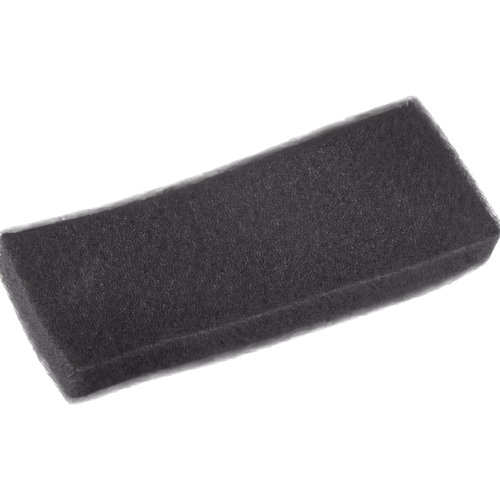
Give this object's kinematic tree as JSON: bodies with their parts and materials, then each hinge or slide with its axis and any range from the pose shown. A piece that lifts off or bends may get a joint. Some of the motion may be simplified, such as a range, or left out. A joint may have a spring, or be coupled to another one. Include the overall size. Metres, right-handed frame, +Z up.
{
  "type": "flat foam air filter element",
  "caption": "Flat slab of black open-cell foam that lies in a small engine's airbox, held by its edges between floor and cover, and filters the intake air.",
  "frame": {"origin": "centre of the slab's outline box, on the base face that it lies on", "axes": "+X along the length, towards the end with the rounder front corner; +Y across the width, towards the long side with the waist; +Z up, through the thickness"},
  "size_m": [0.15, 0.066, 0.0145],
  "materials": {
    "foam": "matte charcoal open-cell polyurethane foam, about 25 pores an inch"
  },
  "bodies": {
    "root": {"foam_element": "foam"}
  },
  "joints": []
}
